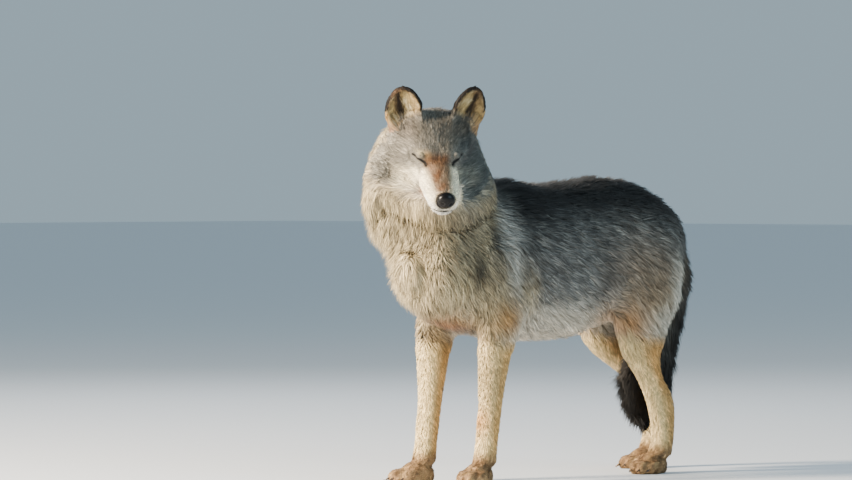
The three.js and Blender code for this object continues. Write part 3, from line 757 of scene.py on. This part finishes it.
def hair(name, chosen, seed, lock, pull):
    """One piece of coat on the chosen triangles of the skin: about `lock` tufts lean together
    into a lock, as strongly as `pull`."""
    rng = np.random.default_rng(seed)
    mine = triangles[chosen]
    p = skin[mine]
    area = np.linalg.norm(np.cross(p[:, 1] - p[:, 0], p[:, 2] - p[:, 0]), axis=1) / 2
    weight = area * crowd[mine].mean(1) * 1000 * (1 - bare[mine].mean(1)) * FULLNESS
    n = min(int(weight.sum()), TUFT_LIMIT)

    # each root is at a random place on a triangle
    pick = rng.choice(len(weight), n, p=weight / weight.sum())
    corner = mine[pick]
    a = rng.random((n, 2))
    a = np.where(a.sum(1)[:, None] > 1, 1 - a, a)
    share = np.column_stack([1 - a.sum(1), a])

    def at(values):
        return np.einsum("nk,nk...->n...", share, values[corner])

    root = at(skin)
    high = np.linalg.norm(at(outer) - root, axis=1)
    up = unit(at(skin_normal))
    way = laid_on(at(lie), up)

    # the tufts nearest to the same leader make one lock, with its own turn, lift and shade
    leaders = rng.choice(n, max(n // lock, 1), replace=False)
    leader_tree = KDTree(len(leaders))
    for i, k in enumerate(leaders):
        leader_tree.insert(root[k], i)
    leader_tree.balance()
    lock_of = np.array([leader_tree.find(q)[1] for q in root])
    lock_turn = rng.normal(0, 0.16, len(leaders))[lock_of]
    lock_lift = rng.uniform(0.86, 1.08, len(leaders))[lock_of]
    lock_light = np.exp(rng.normal(0, 0.17, len(leaders)))[lock_of]

    # the tip lies along the coat's outside, or stands free of it
    turn = (lock_turn + rng.normal(0, 0.13, n))[:, None]
    way = way * np.cos(turn) + np.cross(up, way) * np.sin(turn)
    long = at(length) * MM * rng.uniform(0.72, 1.2, n)
    lift = (1 - 0.42 * rng.random(n) ** 1.6) * lock_lift
    along = np.sqrt(np.maximum(long ** 2 - high ** 2, (0.5 * long) ** 2))
    reach = root + way * along[:, None]
    below = np.array([skin_tree.find(q)[1] for q in reach])
    below_up = skin_normal[below]
    drop = ((reach - skin[below]) * below_up).sum(1)
    coat_here = np.linalg.norm(outer[below] - skin[below], axis=1)
    proud = at(stand) * MM * rng.random(n) ** 2
    tip = reach + below_up * (coat_here * lift + proud - drop)[:, None]
    loose = (np.clip(at(free), 0, 1) * rng.random(n))[:, None]
    flare = (high * lift + proud + along * 0.3 * np.clip(at(free), 0, 1))[:, None]
    tip = tip * (1 - loose) + (reach + up * flare) * loose
    mid = root + way * (0.45 * along)[:, None] + up * (0.62 * high * lift)[:, None] \
        - below_up * (0.22 * drop)[:, None]
    leader = leaders[lock_of]
    tip += (tip[leader] - tip) * pull
    mid += (mid[leader] - mid) * pull * 0.4

    # a blade with three sides, tapering to its tip
    half = (at(width) * MM * rng.uniform(0.75, 1.25, n) / 2)[:, None]
    twist = rng.uniform(-0.7, 0.7, n)[:, None]
    across = np.cross(way, up)
    across = across * np.cos(twist) + up * np.sin(twist)
    thick = np.cross(across, way)
    points = np.stack([root - across * half, root + across * half, root + thick * half * 0.6,
                       mid - across * half * 0.85, mid + across * half * 0.85,
                       mid + thick * half * 0.6, tip], axis=1)
    points[:, :, 2] = np.maximum(points[:, :, 2], 0.0)

    # dark at the root, where the light doesn't reach, and often tipped with black
    light = (lock_light * np.exp(rng.normal(0, 0.19, n)))[:, None]
    over_what = np.where(keeps_colour[corner[:, 0]], corner[:, 0], below)
    wool = at(under) * light
    ends = over[over_what] * light
    tipped = (rng.random(n) < dark[over_what])[:, None]
    ends = np.where(tipped, 0.25 * ends + 0.75 * BLACK_TIP, ends)
    mids = np.where(tipped, 0.5 * wool + 0.5 * ends, 0.45 * wool + 0.55 * ends)
    colours = np.stack([wool * 0.7] * 3 + [mids] * 3 + [ends], axis=1)

    # light falls on each tuft as it does on the coat's outside
    cover = unit(up + below_up)
    normals = np.stack([cover - across * 0.45, cover + across * 0.45, cover] * 2 + [cover], axis=1)

    first = (np.arange(n) * TUFT_POINTS)[:, None, None]
    quads = (SIDE_FACES[None] + first).reshape(-1, 4)
    tips = (END_FACES[None] + first).reshape(-1, 3)
    mesh = bpy.data.meshes.new(name)
    mesh.vertices.add(n * TUFT_POINTS)
    mesh.vertices.foreach_set("co", points.astype(np.float32).ravel())
    corner_list = np.concatenate([quads.ravel(), tips.ravel()]).astype(np.int32)
    mesh.loops.add(len(corner_list))
    mesh.loops.foreach_set("vertex_index", corner_list)
    starts = np.concatenate([np.arange(len(quads)) * 4,
                             len(quads) * 4 + np.arange(len(tips)) * 3]).astype(np.int32)
    mesh.polygons.add(len(starts))
    mesh.polygons.foreach_set("loop_start", starts)
    mesh.update(calc_edges=True)
    tint = mesh.color_attributes.new("coat_colour", "FLOAT_COLOR", "POINT")
    whole_colours = np.concatenate([colours, np.ones((n, TUFT_POINTS, 1))], axis=2)
    tint.data.foreach_set("color", whole_colours.astype(np.float32).ravel())

    # each tuft is a small patch at its root's place on the unwrapped skin. The last corner of
    # its root's own face is moved a little, so that this face has some width there too
    spot = unwrap(root, owner[corner[:, 0]], up)
    patch_uv = (spot[:, None] + PATCH_POINTS[None]).reshape(-1, 2)
    loop_uv = patch_uv[corner_list]
    root_corners = len(quads) * 4 + np.arange(n) * END_FACES.size + END_FACES.size - 1
    loop_uv[root_corners] += [0, PATCH / 4]
    layer = mesh.uv_layers.new(name="OFBake")
    layer.data.foreach_set("uv", loop_uv.astype(np.float32).ravel())
    mesh.normals_split_custom_set_from_vertices(unit(normals.reshape(-1, 3)))
    mesh.materials.append(guard)
    piece = place(bpy.data.objects.new(name, mesh))
    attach(piece, "root")


def of(*words):
    """Which triangles of the skin belong to the parts with any of these words."""
    return part(*words)[triangles[:, 0]]


triangle_middle = skin[triangles].mean(1)
on_left = triangle_middle[:, 0] > 0
left_of_head = in_head(triangle_middle)[:, 0] > 0
sides = (("left", on_left, left_of_head), ("right", ~on_left, ~left_of_head))
hair("coat_muzzle", of("muzzle", "jaw"), 11, 5, 0.3)
hair("coat_ears", of("ear_"), 12, 6, 0.35)
for index, (side, on_side, of_head) in enumerate(sides):
    hair("coat_head_" + side, of("head") & of_head, 20 + index, 6, 0.35)
    hair("coat_neck_" + side, of("neck") & on_side, 30 + index, 6, 0.2)
    hair("coat_chest_" + side, of("chest") & on_side, 40 + index, 8, 0.35)
    hair("coat_flank_" + side, of("belly") & on_side, 50 + index, 8, 0.35)
    hair("coat_rump_" + side, of("hindquarters") & on_side, 60 + index, 8, 0.35)
    hair("coat_foreleg_" + side, of("foreleg_" + side), 70 + index, 7, 0.35)
    hair("coat_hindleg_" + side, of("hindleg_" + side), 80 + index, 7, 0.35)
hair("coat_tail", of("tail"), 13, 9, 0.4)


# ---- nose --------------------------------------------------------------------------------
# Bare black nose leather: a broad wet pad, pebbled, with two nostrils that open to the sides
# and a groove down its middle.

def ring_faces(first, rings, around):
    """Faces between rings of points that follow each other from the point `first`."""
    faces = []
    for ring in range(rings):
        for k in range(around):
            a = first + ring * around + k
            b = first + ring * around + (k + 1) % around
            faces.append((a, b, b + around, a + around))
    return faces


NOSE_AROUND = 72
NOSE_UP = 48
SQUARENESS = 0.85
NOSTRIL_DEPTH = 5.5
NOSTRIL_TAIL_DEPTH = 2.6
PARTING_DEPTH = 1.4
NOSTRIL = {1: np.array([11.0, -12.0, -2.0]), -1: np.array([-11.0, -12.0, -2.0])}
nose_points = []
for i in range(NOSE_UP + 1):
    rise = math.pi * (i / NOSE_UP - 0.5)
    for j in range(NOSE_AROUND):
        turn = 2 * math.pi * j / NOSE_AROUND
        nose_points.append((math.cos(rise) * math.cos(turn), math.cos(rise) * math.sin(turn),
                            math.sin(rise)))
ball = np.array(nose_points)
pad = unit(np.sign(ball) * np.abs(ball) ** SQUARENESS) * NOSE_HALF
pad[:, 0] *= 1 - 0.22 * smooth(0, 18, -pad[:, 2])
for side in (1, -1):
    away = pad - NOSTRIL[side]
    hole = np.exp(-(away[:, 0] / 4.6) ** 2 - (away[:, 2] / 4.2) ** 2) * (pad[:, 1] < 0)
    comma = np.exp(-((away[:, 0] - side * 6) / 6.0) ** 2 - ((away[:, 2] + 2.5) / 1.9) ** 2) \
        * (pad[:, 1] < 2)
    pad = pad - ball * (NOSTRIL_DEPTH * hole + NOSTRIL_TAIL_DEPTH * comma)[:, None]
parting = np.exp(-(pad[:, 0] / 1.1) ** 2) * (pad[:, 1] < 0) * (pad[:, 2] < 4)
pad = pad - ball * (PARTING_DEPTH * parting)[:, None]
nose_mesh = bpy.data.meshes.new("nose_pad")
nose_mesh.from_pydata(from_head(pad + nose_at).tolist(), [],
                      ring_faces(0, NOSE_UP, NOSE_AROUND))
closed = bmesh.new()
closed.from_mesh(nose_mesh)
bmesh.ops.remove_doubles(closed, verts=closed.verts, dist=2 * WELD)
bmesh.ops.recalc_face_normals(closed, faces=closed.faces)
for f in closed.faces:
    f.smooth = True
closed.to_mesh(nose_mesh)
closed.free()
nose_piece = place(bpy.data.objects.new("nose_pad", nose_mesh))

# moist bare skin: black, smooth between fine pebbles, with a small soft highlight
leather = new_material("nose_leather")
where = add_node(leather, "ShaderNodeTexCoord").outputs["Object"]
pebbles = add_node(leather, "ShaderNodeTexVoronoi", {"Vector": where, "Scale": 1 / (1.7 * MM)},
                   feature="SMOOTH_F1")
pebbled = add_node(leather, "ShaderNodeBump", {"Height": pebbles.outputs[0], "Strength": 0.5,
                                               "Distance": 0.35 * MM}, invert=True)
close_material(leather, add_node(leather, "ShaderNodeBsdfPrincipled", {
    "Base Color": (*linear("#060506"), 1), "Roughness": 0.32, "Normal": pebbled.outputs[0],
    "Specular IOR Level": 0.2, "Coat Weight": 0.06, "Coat Roughness": 0.1}))
nose_mesh.materials.append(leather)
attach(nose_piece, "root")
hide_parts("nose")


# ---- eyes --------------------------------------------------------------------------------
# Eyeballs behind the shut lids: amber iris, round black pupil, dark rim and clear wet front.

EYEBALL_RADIUS = 10.9
for side, node in ((1, "eye_left"), (-1, "eye_right")):
    eye_mesh = bpy.data.meshes.new(node + "_ball")
    globe = bmesh.new()
    bmesh.ops.create_uvsphere(globe, u_segments=32, v_segments=20, radius=EYEBALL_RADIUS * MM)
    for v in globe.verts:
        v.co = v.co + Vector(from_head(EYE_AT[side]))
    for f in globe.faces:
        f.smooth = True
    globe.to_mesh(eye_mesh)
    globe.free()

    # wet cornea: clear and glossy over an amber iris, so that it catches the light
    eye = new_material("eyeball_" + node)
    place_at = add_node(eye, "ShaderNodeTexCoord").outputs["Object"]
    front = from_head(EYE_AT[side] + [0, -EYEBALL_RADIUS, 0])
    from_pupil = add_node(eye, "ShaderNodeVectorMath", {0: place_at, 1: front}, operation="DISTANCE")
    ramp = add_node(eye, "ShaderNodeValToRGB", {"Fac": add_node(
        eye, "ShaderNodeMapRange", {"Value": from_pupil.outputs["Value"], "From Min": 0.0,
                                    "From Max": 10 * MM}).outputs[0]})
    ramp.color_ramp.elements[0].color = (*linear("#0a0908"), 1)
    ramp.color_ramp.elements[0].position = 0.24
    ramp.color_ramp.elements[1].color = (*linear("#2a1a10"), 1)
    ramp.color_ramp.elements[1].position = 0.7
    amber = ramp.color_ramp.elements.new(0.3)
    amber.color = (*linear("#b5822f"), 1)
    close_material(eye, add_node(eye, "ShaderNodeBsdfPrincipled", {
        "Base Color": ramp.outputs[0], "Roughness": 0.12, "IOR": 1.38}))
    eye_mesh.materials.append(eye)
    eye_piece = place(bpy.data.objects.new(node + "_ball", eye_mesh))
    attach(eye_piece, "root")
    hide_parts(node)


# ---- claws -------------------------------------------------------------------------------
# Blunt dark horn claws, one at the tip of each toe, curving down to just over the ground.

CLAW_LONG = 19
CLAW_THICK = 4.2
CLAW_TIP = 0.15
CLAW_NARROW = 0.75
CLAW_SIDES = 8
CLAW_RINGS = 6
CLAW_AHEAD = 28  # the root is this far before the toe's place in the list of toes
CLAW_HIGH = 12.5
CLAW_DROP = 7.5
TOES = ((-26, -18), (-10, -38), (10, -38), (26, -18))
TURNED_OUT = {"fore": 16, "hind": 6}
BODY_MIDDLE = -0.012
claw_points = []
claw_faces = []
for mount in frame["record"]["mounts"]:
    sole = np.array(mount["pos_m"], float)
    left = 1 if sole[0] > BODY_MIDDLE else -1
    toe_out = math.radians(left * TURNED_OUT["fore" if sole[1] < 0 else "hind"])
    turned = np.array([[math.cos(toe_out), math.sin(toe_out), 0],
                       [-math.sin(toe_out), math.cos(toe_out), 0], [0, 0, 1]])
    for dx, dy in TOES:
        first = len(claw_points)
        for r in range(CLAW_RINGS + 1):
            t = r / CLAW_RINGS
            centre = np.array([dx, dy - CLAW_AHEAD - CLAW_LONG * t, CLAW_HIGH - CLAW_DROP * t ** 2])
            thick = CLAW_THICK * (1 - t) ** 0.7 + CLAW_TIP
            for k in range(CLAW_SIDES):
                turn = 2 * math.pi * k / CLAW_SIDES
                around = [thick * CLAW_NARROW * math.cos(turn), 0, thick * math.sin(turn)]
                claw_points.append(sole + (centre + around) * MM @ turned)
        claw_faces += ring_faces(first, CLAW_RINGS, CLAW_SIDES)
        claw_faces.append(tuple(first + k for k in reversed(range(CLAW_SIDES))))
        last = first + CLAW_RINGS * CLAW_SIDES
        claw_faces.append(tuple(last + k for k in range(CLAW_SIDES)))
claw_mesh = bpy.data.meshes.new("claws")
claw_mesh.from_pydata([list(p) for p in claw_points], [], claw_faces)
closed = bmesh.new()
closed.from_mesh(claw_mesh)
bmesh.ops.recalc_face_normals(closed, faces=closed.faces)
for f in closed.faces:
    f.smooth = len(f.verts) == 4
closed.to_mesh(claw_mesh)
closed.free()

# horn: dark, faintly layered and half glossy from wear
horn = new_material("claw_horn")
where = add_node(horn, "ShaderNodeTexCoord").outputs["Object"]
layers = add_node(horn, "ShaderNodeTexNoise", {"Vector": where, "Scale": 1 / (3 * MM), "Detail": 2.0})
horn_tint = add_node(horn, "ShaderNodeValToRGB", {"Fac": layers.outputs[0]})
horn_tint.color_ramp.elements[0].color = (*linear("#211b17"), 1)
horn_tint.color_ramp.elements[1].color = (*linear("#4a3d33"), 1)
close_material(horn, add_node(horn, "ShaderNodeBsdfPrincipled", {
    "Base Color": horn_tint.outputs[0], "Roughness": 0.42, "IOR": 1.54}))
claw_mesh.materials.append(horn)
claw_piece = place(bpy.data.objects.new("claws", claw_mesh))
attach(claw_piece, "root")


# ---- floor, light and camera -------------------------------------------------------------
# A plain pale painted floor, a broad warm light low on the animal's right, a cool soft fill
# on its left and a faint light from behind. The camera has a long lens.

FLOOR_REACH = 60
floor_mesh = bpy.data.meshes.new("floor")
floor_mesh.from_pydata([(-FLOOR_REACH, -FLOOR_REACH, 0), (FLOOR_REACH, -FLOOR_REACH, 0),
                        (FLOOR_REACH, FLOOR_REACH, 0), (-FLOOR_REACH, FLOOR_REACH, 0)], [],
                       [(0, 1, 2, 3)])
floor = place(bpy.data.objects.new("floor", floor_mesh))

# matt floor paint, with no highlight
paint = new_material("pale_studio_floor")
close_material(paint, add_node(paint, "ShaderNodeBsdfPrincipled", {
    "Base Color": (*linear("#dfe3e8"), 1), "Roughness": 0.8}))
floor_mesh.materials.append(paint)

VIEW_TURN = math.radians(43)
view_right = np.array([math.cos(VIEW_TURN), math.sin(VIEW_TURN), 0])
view_back = np.array([math.sin(VIEW_TURN), -math.cos(VIEW_TURN), 0])


def soft_light(name, at, size, power, colour):
    lamp = bpy.data.lights.new(name, "AREA")
    lamp.shape = "DISK"
    lamp.size = size
    lamp.energy = power
    lamp.color = colour
    holder = place(bpy.data.objects.new(name, lamp))
    holder.location = at
    holder.rotation_euler = (Vector((0, 0, 0.5)) - Vector(at)).to_track_quat("-Z", "Y").to_euler()


soft_light("key", -view_right * 5.2 + view_back * 2.4 + [0, 0, 2.4], 1.4, 1700, (1.0, 0.85, 0.67))
soft_light("fill", view_right * 4.5 + view_back * 4.0 + [0, 0, 2.4], 3.5, 150, (0.62, 0.86, 1.0))
soft_light("back", -view_back * 4.5 - view_right * 1.0 + [0, 0, 4.0], 3.0, 110, (0.90, 0.94, 1.0))
world = bpy.data.worlds.new("studio")
world.use_nodes = True
sky = world.node_tree.nodes["Background"]
sky.inputs["Color"].default_value = (*linear("#bcd5e3"), 1)
sky.inputs["Strength"].default_value = 0.66
bpy.context.scene.world = world

CAMERA_AWAY = 12.24
CAMERA_ASIDE = -0.2669
CAMERA_HEIGHT = 0.714
CAMERA_PITCH = 0.01117
CAMERA_LENS = 212.96
VIEW_CENTRE = np.array([-0.0131, -0.0176, 0])
lens = bpy.data.cameras.new("view")
lens.lens = CAMERA_LENS
lens.sensor_width = 36
lens.clip_end = 400
camera = place(bpy.data.objects.new("view", lens))
camera.location = (VIEW_CENTRE + view_right * CAMERA_ASIDE + view_back * CAMERA_AWAY
                   + [0, 0, CAMERA_HEIGHT])
camera.rotation_euler = (math.pi / 2 - CAMERA_PITCH, 0, VIEW_TURN)
bpy.context.scene.camera = camera

bpy.context.view_layer.update()
